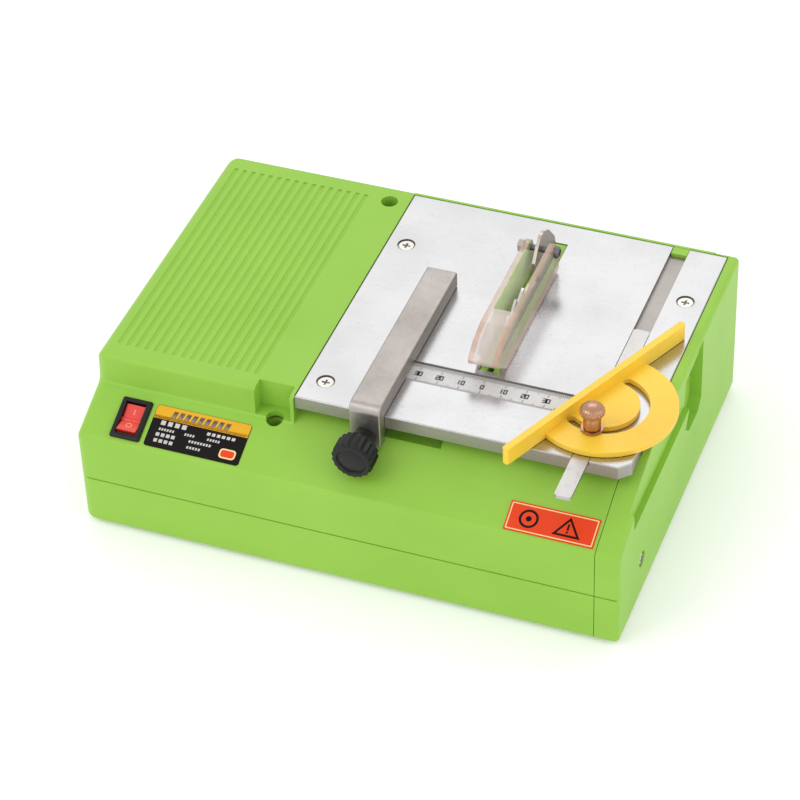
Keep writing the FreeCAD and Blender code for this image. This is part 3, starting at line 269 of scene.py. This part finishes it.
zinc = ground_metal("zinc_plate", rgb(0.70, 0.69, 0.66), rgb(0.55, 0.53, 0.48), 0.30, (1800, 1800, 1800))
copper = ground_metal("copper_colour", rgb(0.560, 0.320, 0.210),
                      rgb(0.400, 0.205, 0.120), 0.30, (300, 300, 5000))
wire_copper = ground_metal("enamelled_wire", rgb(0.62, 0.24, 0.09),
                           rgb(0.40, 0.12, 0.04), 0.35, (300, 2500, 2500))
brass = ground_metal("stamped_brass", rgb(0.75, 0.55, 0.25),
                     rgb(0.55, 0.38, 0.15), 0.35, (1500, 1500, 1500))
yellow = moulded("gauge_yellow", rgb(0.930, 0.640, 0.052), rgb(0.900, 0.510, 0.034), 0.36,
                 **{"Subsurface Weight": 0.12, "Subsurface Scale": 0.003})
black = moulded("black_plastic", rgb(0.010, 0.010, 0.010), rgb(0.006, 0.006, 0.006), 0.36,
                **{"Specular IOR Level": 0.30})
red = moulded("switch_red", rgb(0.860, 0.055, 0.040), rgb(0.780, 0.035, 0.025), 0.25,
              **{"Coat Weight": 0.3, "Coat Roughness": 0.15})
rubber = moulded("foot_rubber", rgb(0.030, 0.030, 0.031), rgb(0.018, 0.018, 0.018), 0.78, 1500, 0.0001)
carbon = moulded("pressed_carbon", rgb(0.030, 0.030, 0.032), rgb(0.015, 0.015, 0.016), 0.60)
foil_black = moulded("foil_black", rgb(0.007, 0.005, 0.005), rgb(0.011, 0.008, 0.008), 0.34, 900, 0.00001,
                     **{"Specular IOR Level": 0.12})
foil_amber = moulded("foil_amber", rgb(0.820, 0.440, 0.022), rgb(0.760, 0.360, 0.015), 0.32, 900, 0.00001,
                     **{"Specular IOR Level": 0.20})
foil_grey = moulded("foil_grey", rgb(0.620, 0.600, 0.580), rgb(0.480, 0.460, 0.440), 0.32, 900, 0.00001)
foil_orange = moulded("foil_orange", rgb(0.800, 0.066, 0.014), rgb(0.730, 0.048, 0.010), 0.34, 900, 0.00001,
                      **{"Specular IOR Level": 0.20})
foil_cream = moulded("foil_cream", rgb(0.900, 0.700, 0.320), rgb(0.850, 0.640, 0.280), 0.34, 900, 0.00001)
foil_brown = moulded("foil_brown", rgb(0.210, 0.110, 0.040), rgb(0.160, 0.080, 0.030), 0.34, 900, 0.00001)
mark_pink = moulded("mark_pink", rgb(0.900, 0.330, 0.240), rgb(0.850, 0.270, 0.200), 0.34, 900, 0.00001)
ruler_foil = moulded("ruler_foil", rgb(0.660, 0.650, 0.640), rgb(0.570, 0.560, 0.550), 0.30, 900, 0.00001)


GUARD_MIDDLE = (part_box("blade_guard")[0].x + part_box("blade_guard")[1].x) / 2
WALL_IN = 4.5 * MM
WALL_OUT = 7.3 * MM
NOSE_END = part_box("blade_guard")[0].y + 28.8 * MM


def clear_varying(wire):
    """Clear moulded plastic. The narrow edges of its two side walls gather more colour than their faces,
    the inner face of the left wall carries a painted reflection of the green insert, and the nose is hazier
    than the rest."""
    across = wire.axis(0) - GUARD_MIDDLE
    off = wire.math("ABSOLUTE", across)
    edge = (off.clamped(WALL_IN + 0.05 * MM, WALL_IN + 0.25 * MM)
            * (1 - off.clamped(WALL_OUT - 0.35 * MM, WALL_OUT - 0.10 * MM)))
    nose = 1 - wire.axis(1).clamped(NOSE_END - 1.2 * MM, NOSE_END)
    inner_face = ((0 - across).clamped(WALL_IN - 0.20 * MM, WALL_IN - 0.05 * MM)
                  * (1 - off.clamped(WALL_IN + 0.05 * MM, WALL_IN + 0.10 * MM)))
    # painted reflection: the inner face of the left wall is tinted green and made more opaque, standing in
    # for the green insert seen in it
    painted_reflection = inner_face * (1 - nose)
    haze = wire.grit(160, 4).clamped(0.42, 0.75)
    plain = haze.mixed(rgb(0.800, 0.700, 0.650), rgb(0.700, 0.590, 0.540))
    # colour of the painted reflection of the green insert
    reflected_green = haze.mixed(rgb(0.560, 0.780, 0.180), rgb(0.600, 0.740, 0.300))
    amber = haze.mixed(rgb(0.640, 0.400, 0.290), rgb(0.520, 0.320, 0.230))
    return {
        "Base Color": edge.mixed(painted_reflection.mixed(plain, reflected_green), amber),
        "Roughness": haze * 0.12 + 0.05,
        "Alpha": edge * 0.26 + haze * 0.10 + painted_reflection * 0.46 + nose * 0.14 + 0.25,
        "Normal": wire.grit(90, 2).bump(0.15, 0.0001),
    }


clear = finish("clear_guard", {"IOR": 1.49, "Specular IOR Level": 0.9}, clear_varying)

FINISHES = {
    green: ("base_shell", "top_shell", "side_cover"),
    brushed_plate: ("table_plate",),
    fence_steel: ("fence_bar", "fence_key", "clamp_jaw"),
    bar_steel: ("mitre_bar", "pivot_pin", "motor_can", "motor_straps"),
    turned_steel: ("arbor_shaft", "inner_flange", "outer_flange", "rotor_shaft", "arbor_bearings",
                   "motor_bearings", "brush_springs"),
    knife_steel: ("riving_knife", "guard_nut"),
    blade_steel: ("saw_blade",),
    cast_alloy: ("arbor_block", "front_bracket", "rear_bracket", "arbor_pulley", "motor_pulley"),
    core_steel: ("stator_core", "armature_core", "guard_screw"),
    zinc: ("cover_screw", "foot_screws", "case_screws", "strap_screws", "block_screws", "knife_screws",
           "plate_screws", "arbor_nut", "clamp_screw", "lock_stem"),
    copper: ("lock_knob", "lock_washer"),
    wire_copper: ("field_coils", "armature_windings"),
    brass: ("commutator", "brush_holders", "switch_terminals"),
    yellow: ("mitre_head",),
    black: ("cord_gland", "switch_frame", "cooling_fan", "clamp_knob"),
    red: ("switch_rocker",),
    rubber: ("rubber_feet", "drive_belt"),
    carbon: ("carbon_brushes",),
    foil_black: ("rating_label",),
    foil_orange: ("caution_label",),
    ruler_foil: ("ruler_strip",),
    clear: ("blade_guard",),
}
for material, names in FINISHES.items():
    for name in names:
        slots = nodes[name].data.materials
        slots.clear()
        slots.append(material)

# ---------------------------------------------------------------- building blocks


def piece(name, mesh, body, slot, *materials):
    """A visible piece that rides on a body of the frame."""
    made = bpy.data.objects.new(name, mesh)
    for material in materials:
        mesh.materials.append(material)
    scene.collection.objects.link(made)
    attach(made, body)
    return made


def solid_from(bm, name):
    """A mesh with its normals outward, and the end of the bmesh that it came from."""
    bmesh.ops.recalc_face_normals(bm, faces=bm.faces)
    mesh = bpy.data.meshes.new(name)
    bm.to_mesh(mesh)
    bm.free()
    return mesh


def add_slab(bm, outline, low, high, index=0):
    """A flat plate with the given outline between two heights."""
    under = [bm.verts.new((x, y, low)) for x, y in outline]
    over = [bm.verts.new((x, y, high)) for x, y in outline]
    count = len(outline)
    faces = [bm.faces.new(over), bm.faces.new(list(reversed(under)))]
    for k in range(count):
        faces.append(bm.faces.new((under[k], under[(k + 1) % count], over[(k + 1) % count], over[k])))
    for face in faces:
        face.material_index = index


def rounded_outline(x0, x1, y0, y1, radius):
    """A rectangle with its corners rounded by short chords."""
    steps = 5
    points = []
    for cx, cy, start in ((x1 - radius, y1 - radius, 0), (x0 + radius, y1 - radius, 90),
                          (x0 + radius, y0 + radius, 180), (x1 - radius, y0 + radius, 270)):
        for k in range(steps + 1):
            angle = math.radians(start + 90 * k / steps)
            points.append((cx + radius * math.cos(angle), cy + radius * math.sin(angle)))
    return points


# ---------------------------------------------------------------- ruler

# Segments of a plain stroke digit on a grid that is 2 wide and 4 high.
STROKES = {
    "0": ((0, 0, 2, 0), (2, 0, 2, 4), (2, 4, 0, 4), (0, 4, 0, 0)),
    "1": ((1, 0, 1, 4),),
    "2": ((0, 4, 2, 4), (2, 4, 2, 2), (2, 2, 0, 2), (0, 2, 0, 0), (0, 0, 2, 0)),
    "3": ((0, 4, 2, 4), (2, 4, 2, 0), (0, 2, 2, 2), (0, 0, 2, 0)),
    "4": ((0, 4, 0, 2), (0, 2, 2, 2), (2, 4, 2, 0)),
}


def bar_outline(x0, y0, x1, y1, half):
    """A stroke from one point to another, which runs past both by half its width."""
    along = Vector((x1 - x0, y1 - y0)).normalized() * half
    side = Vector((-along.y, along.x))
    start = Vector((x0, y0)) - along
    end = Vector((x1, y1)) + along
    return [tuple(start - side), tuple(end - side), tuple(end + side), tuple(start + side)]


TICK_TEN = 4.0 * MM
TICK_FIVE = 3.2 * MM
TICK_ONE = 2.3 * MM
TICK_HALF = 0.14 * MM
TICK_EDGE = 0.2 * MM
TICK_INK = 0.05 * MM
DIGIT_CELL = 0.62 * MM
DIGIT_WIDTH = 2
DIGIT_GAP = 0.9
DIGIT_HALF = 0.27 * MM
DIGIT_INK = 0.06 * MM


def make_ruler():
    """A tick for each millimetre along both edges, and a number at every tenth."""
    low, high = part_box("ruler_strip")
    zero = (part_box("saw_blade")[0].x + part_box("saw_blade")[1].x) / 2
    face = high.z
    bm = bmesh.new()
    step = int((low.x - zero) / MM) + 1
    while zero + step * MM < high.x - 0.4 * MM:
        x = zero + step * MM
        reach = TICK_TEN if step % 10 == 0 else TICK_FIVE if step % 5 == 0 else TICK_ONE
        left = x - TICK_HALF
        right = x + TICK_HALF
        for y0, y1 in ((low.y + TICK_EDGE, low.y + reach), (high.y - reach, high.y - TICK_EDGE)):
            add_slab(bm, [(left, y0), (right, y0), (right, y1), (left, y1)], face, face + TICK_INK)
        step += 1
    size = DIGIT_CELL
    for ten in range(-4, 5):
        digits = str(abs(ten) * 10)
        cells = len(digits) * DIGIT_WIDTH + (len(digits) - 1) * DIGIT_GAP
        start = zero + ten * 10 * MM - cells * size / 2
        for number, digit in enumerate(digits):
            corner_x = start + number * (DIGIT_WIDTH + DIGIT_GAP) * size
            corner_y = (low.y + high.y) / 2 - 2 * size
            if not low.x + 2 * MM < corner_x < high.x - 3 * MM:
                continue
            for x0, y0, x1, y1 in STROKES[digit]:
                stroke = bar_outline(corner_x + x0 * size, corner_y + y0 * size,
                                     corner_x + x1 * size, corner_y + y1 * size, DIGIT_HALF)
                add_slab(bm, stroke, face, face + DIGIT_INK)
    piece("ruler_marks", solid_from(bm, "ruler_marks"), "housing", "label_black", foil_black)


make_ruler()

# ---------------------------------------------------------------- printed foils on the deck

DECK_SLOPE = math.radians(22.8)
FOIL = 0.3 * MM
INK = 0.03 * MM


def on_deck(node):
    """The frame of a foil on the deck: its front left corner, X across and Y up the slope."""
    low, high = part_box(node)
    corner = Vector((low.x, low.y + FOIL * math.sin(DECK_SLOPE), low.z))
    return Matrix.Translation(corner) @ Matrix.Rotation(DECK_SLOPE, 4, "X")


def foil_size(node):
    """A foil's width, and its length measured up the slope."""
    low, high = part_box(node)
    return high.x - low.x, (high.y - low.y - FOIL * math.sin(DECK_SLOPE)) / math.cos(DECK_SLOPE)


def add_blocks(bm, rows, index):
    """Rows of small plain blocks. A row is (left, baseline, number, width, gap, height, slant)."""
    for left, base, number, width, gap, height, slant in rows:
        for k in range(number):
            x0 = (left + k * (width + gap)) * MM
            x1 = x0 + width * MM
            y0 = base * MM
            y1 = y0 + height * MM
            lean = slant * height * MM
            add_slab(bm, [(x0, y0), (x1, y0), (x1 + lean, y1), (x0 + lean, y1)], FOIL, FOIL + INK, index)


def add_frame(bm, outer, inner, low, high, index):
    """A flat frame between two outlines that have the same number of corners."""
    count = len(outer)
    rings = [[bm.verts.new((x, y, z)) for x, y in line] for line in (outer, inner) for z in (low, high)]
    outer_low, outer_high, inner_low, inner_high = rings
    for k in range(count):
        m = (k + 1) % count
        for quad in ((outer_high[k], outer_high[m], inner_high[m], inner_high[k]),
                     (outer_low[m], outer_low[k], inner_low[k], inner_low[m]),
                     (outer_low[k], outer_low[m], outer_high[m], outer_high[k]),
                     (inner_low[m], inner_low[k], inner_high[k], inner_high[m])):
            bm.faces.new(quad).material_index = index


def circle_outline(x, y, radius, steps=32):
    return [(x + radius * math.cos(math.tau * k / steps), y + radius * math.sin(math.tau * k / steps))
            for k in range(steps)]


FOIL_RIM = 0.15 * MM
THIN_INK = INK * 0.7


def make_rating_label():
    """A black foil with an amber band, rows of blocks in place of words, and one orange mark."""
    width, length = foil_size("rating_label")
    bm = bmesh.new()
    add_slab(bm, rounded_outline(0, width, 0, length, 1.4 * MM), 0, FOIL)
    band = length * 0.69
    left, right = FOIL_RIM, width - FOIL_RIM
    add_slab(bm, rounded_outline(left, right, band, length - FOIL_RIM, 1.2 * MM), FOIL, FOIL + THIN_INK, 1)
    foot, top = band - 0.2 * MM, band + 1.4 * MM
    add_slab(bm, [(left, foot), (right, foot), (right, top), (left, top)], FOIL, FOIL + THIN_INK, 1)
    add_blocks(bm, [(8.0, 15.6, 9, 2.2, 1.0, 3.4, 0.25)], 3)
    add_blocks(bm, [(8.3, 15.9, 9, 1.5, 1.7, 2.6, 0.25)], 2)
    add_blocks(bm, [(4.5, 11.3, 4, 2.2, 1.2, 2.2, 0), (27.0, 11.2, 6, 1.6, 0.8, 1.5, 0.1)], 2)
    add_blocks(bm, [(4.5, 8.6, 6, 0.8, 0.5, 1.2, 0.1), (17.0, 8.6, 4, 0.8, 0.5, 1.2, 0.1),
                    (28.0, 8.6, 5, 0.8, 0.5, 1.2, 0.1)], 2)
    add_blocks(bm, [(4.0, 5.6, 4, 1.7, 0.8, 1.7, 0), (20.0, 5.8, 8, 0.9, 0.5, 1.2, 0.1)], 2)
    add_blocks(bm, [(4.0, 2.6, 4, 1.7, 0.8, 1.7, 0), (20.0, 2.8, 5, 0.9, 0.5, 1.2, 0.1)], 2)
    add_slab(bm, rounded_outline(35.6 * MM, 43.4 * MM, 2.0 * MM, 6.8 * MM, 1.6 * MM), FOIL, FOIL + INK, 4)
    add_slab(bm, rounded_outline(36.3 * MM, 42.7 * MM, 2.7 * MM, 6.1 * MM, 1.2 * MM),
             FOIL + INK, FOIL + 2 * INK, 5)
    bm.transform(on_deck("rating_label"))
    label = piece("rating_foil", solid_from(bm, "rating_foil"), "housing", "label_black",
                  foil_black, foil_amber, foil_grey, foil_brown, foil_cream, foil_orange)
    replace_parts(label, "rating_label")


def triangle(x, y, half, foot, head):
    """A triangle on its base, foot below and head above the point."""
    return [(x - half * MM, y - foot * MM), (x + half * MM, y - foot * MM), (x, y + head * MM)]


def make_caution_label():
    """An orange foil with a cream line, a ring with a dot, and a triangle with a stroke and a dot."""
    width, length = foil_size("caution_label")
    bm = bmesh.new()
    add_slab(bm, rounded_outline(0, width, 0, length, 0.5 * MM), 0, FOIL)
    add_frame(bm, rounded_outline(0.7 * MM, width - 0.7 * MM, 0.7 * MM, length - 0.7 * MM, 0.4 * MM),
              rounded_outline(1.2 * MM, width - 1.2 * MM, 1.2 * MM, length - 1.2 * MM, 0.3 * MM),
              FOIL - INK, FOIL + INK, 1)
    middle = length / 2
    ring_x = width * 0.24
    add_frame(bm, circle_outline(ring_x, middle, 4.4 * MM), circle_outline(ring_x, middle, 3.3 * MM),
              FOIL - INK, FOIL + INK, 2)
    add_slab(bm, circle_outline(ring_x, middle, 1.3 * MM), FOIL, FOIL + INK, 2)
    mark_x = width * 0.68
    add_frame(bm, triangle(mark_x, middle, 6.4, 4.4, 5.0), triangle(mark_x, middle, 4.5, 3.4, 3.2),
              FOIL - INK, FOIL + INK, 2)
    add_slab(bm, bar_outline(mark_x, middle - 0.9 * MM, mark_x, middle + 1.2 * MM, 0.45 * MM),
             FOIL, FOIL + INK, 2)
    add_slab(bm, circle_outline(mark_x, middle - 2.3 * MM, 0.5 * MM, 12), FOIL, FOIL + INK, 2)
    bm.transform(on_deck("caution_label"))
    label = piece("caution_foil", solid_from(bm, "caution_foil"), "housing", "label_orange",
                  foil_orange, foil_cream, foil_black)
    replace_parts(label, "caution_label")


make_rating_label()
make_caution_label()

# ---------------------------------------------------------------- switch marks

FACET_RISE = 1.7
FACET_RUN = 7.0
ROCKER_FACET = math.atan2(FACET_RISE, FACET_RUN)
ROCKER_TIP = DECK_SLOPE - math.radians(8)
MARK_OUT = 3.6
ROCKER_CROWN = 0.9


def make_switch_marks():
    """A stroke on the rocker's upper half and a ring on its lower half."""
    axis = Vector(next(joint["pos_m"] for joint in frame["joints"] if joint["name"] == "switch_tip"))
    rocker = Matrix.Translation(axis) @ Matrix.Rotation(ROCKER_TIP, 4, "X")
    bm = bmesh.new()
    for side in (-1, 1):
        made = bmesh.new()
        if side > 0:
            add_slab(made, bar_outline(0, -1.0 * MM, 0, 1.0 * MM, 0.28 * MM), -INK, INK)
        else:
            add_frame(made, circle_outline(0, 0, 1.5 * MM, 28), circle_outline(0, 0, 1.0 * MM, 28),
                      -INK, INK, 0)
        height = ROCKER_CROWN + MARK_OUT * FACET_RISE / FACET_RUN
        facet = Matrix.Translation((0, side * MARK_OUT * MM, height * MM))
        made.transform(rocker @ facet @ Matrix.Rotation(side * ROCKER_FACET, 4, "X"))
        part = bpy.data.meshes.new("mark")
        made.to_mesh(part)
        made.free()
        bm.from_mesh(part)
        bpy.data.meshes.remove(part)
    piece("switch_marks", solid_from(bm, "switch_marks"), "rocker", "switch_red", mark_pink)


make_switch_marks()

# ---------------------------------------------------------------- turned knobs


def turned(name, profile, flutes, segments, place):
    """A closed turned form. profile lists (along, radius, flute depth); place puts it in the frame."""
    bm = bmesh.new()
    rings = []
    for along, radius, depth in profile:
        ring = []
        for k in range(segments):
            angle = math.tau * k / segments
            cut = depth * (0.5 + 0.5 * math.cos(flutes * angle)) ** 0.6
            reach = radius - cut
            ring.append(bm.verts.new((reach * math.cos(angle), reach * math.sin(angle), along)))
        rings.append(ring)
    for lower, upper in zip(rings, rings[1:]):
        for k in range(segments):
            m = (k + 1) % segments
            bm.faces.new((lower[k], lower[m], upper[m], upper[k]))
    bm.faces.new(list(reversed(rings[0])))
    bm.faces.new(rings[-1])
    bm.transform(place)
    mesh = solid_from(bm, name)
    mesh.shade_smooth()
    mesh.set_sharp_from_angle(angle=math.radians(38))
    return mesh


def make_lock_knob():
    """The gauge's lock: a plain shank under a fluted head."""
    low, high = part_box("lock_knob")
    centre = Vector(((low.x + high.x) / 2, (low.y + high.y) / 2, low.z))
    profile = [(0.0, 3.55, 0), (0.25, 3.9, 0), (5.7, 3.9, 0), (6.1, 3.75, 0), (6.6, 3.8, 0), (7.4, 4.7, 0),
               (7.9, 5.2, 0.0), (8.1, 5.45, 0.3), (8.7, 5.62, 0.42), (9.5, 5.62, 0.42), (10.2, 5.4, 0.4),
               (10.8, 5.0, 0.3), (11.4, 4.4, 0.0), (11.9, 3.5, 0), (12.35, 2.3, 0), (12.6, 1.0, 0)]
    profile = [(z * MM, r * MM, cut * MM) for z, r, cut in profile]
    mesh = turned("lock_knob_turned", profile, 26, 156, Matrix.Translation(centre))
    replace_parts(piece("lock_knob_turned", mesh, "lock_knob", "copper_knob", copper), "lock_knob")


def make_clamp_knob():
    """The fence's clamp: a deep fluted grip that narrows to its front."""
    low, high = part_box("clamp_knob")
    centre = Vector(((low.x + high.x) / 2, low.y, (low.z + high.z) / 2))
    profile = [(0.55, 1.0, 0), (0.55, 5.6, 0), (0.75, 5.9, 0), (0.75, 6.5, 0), (0.1, 6.9, 0), (0.0, 7.6, 0),
               (0.15, 8.5, 0.2), (0.55, 9.15, 0.6), (1.1, 9.5, 0.85), (2.0, 9.68, 0.95), (8.6, 9.68, 0.95),
               (9.5, 9.5, 0.85), (10.1, 9.0, 0.5), (10.5, 8.3, 0.0), (11.2, 7.4, 0), (14.2, 5.9, 0),
               (16.9, 5.1, 0), (17.15, 4.7, 0), (17.15, 1.0, 0)]
    profile = [(y * MM, r * MM, cut * MM) for y, r, cut in profile]
    place = Matrix.Translation(centre) @ Matrix.Rotation(math.radians(-90), 4, "X")
    mesh = turned("clamp_knob_moulded", profile, 20, 200, place)
    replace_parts(piece("clamp_knob_moulded", mesh, "clamp_knob", "black_plastic", black), "clamp_knob")


make_lock_knob()
make_clamp_knob()

# ---------------------------------------------------------------- floor


def make_floor():
    """The white paper that the saw stands on."""
    bm = bmesh.new()
    bmesh.ops.create_grid(bm, x_segments=2, y_segments=2, size=6)
    mesh = bpy.data.meshes.new("floor")
    bm.to_mesh(mesh)
    bm.free()
    floor = bpy.data.objects.new("floor", mesh)
    glow = {"Emission Color": (1, 1, 1, 1), "Emission Strength": 0.16}
    mesh.materials.append(finish("floor_paper", {"Specular IOR Level": 0.2, **glow}, lambda wire: {
        "Base Color": wire.grit(3, 3).mixed(rgb(0.93, 0.93, 0.93), rgb(0.90, 0.90, 0.90)),
        "Roughness": wire.grit(200) * 0.1 + 0.75,
    }))
    scene.collection.objects.link(floor)


make_floor()
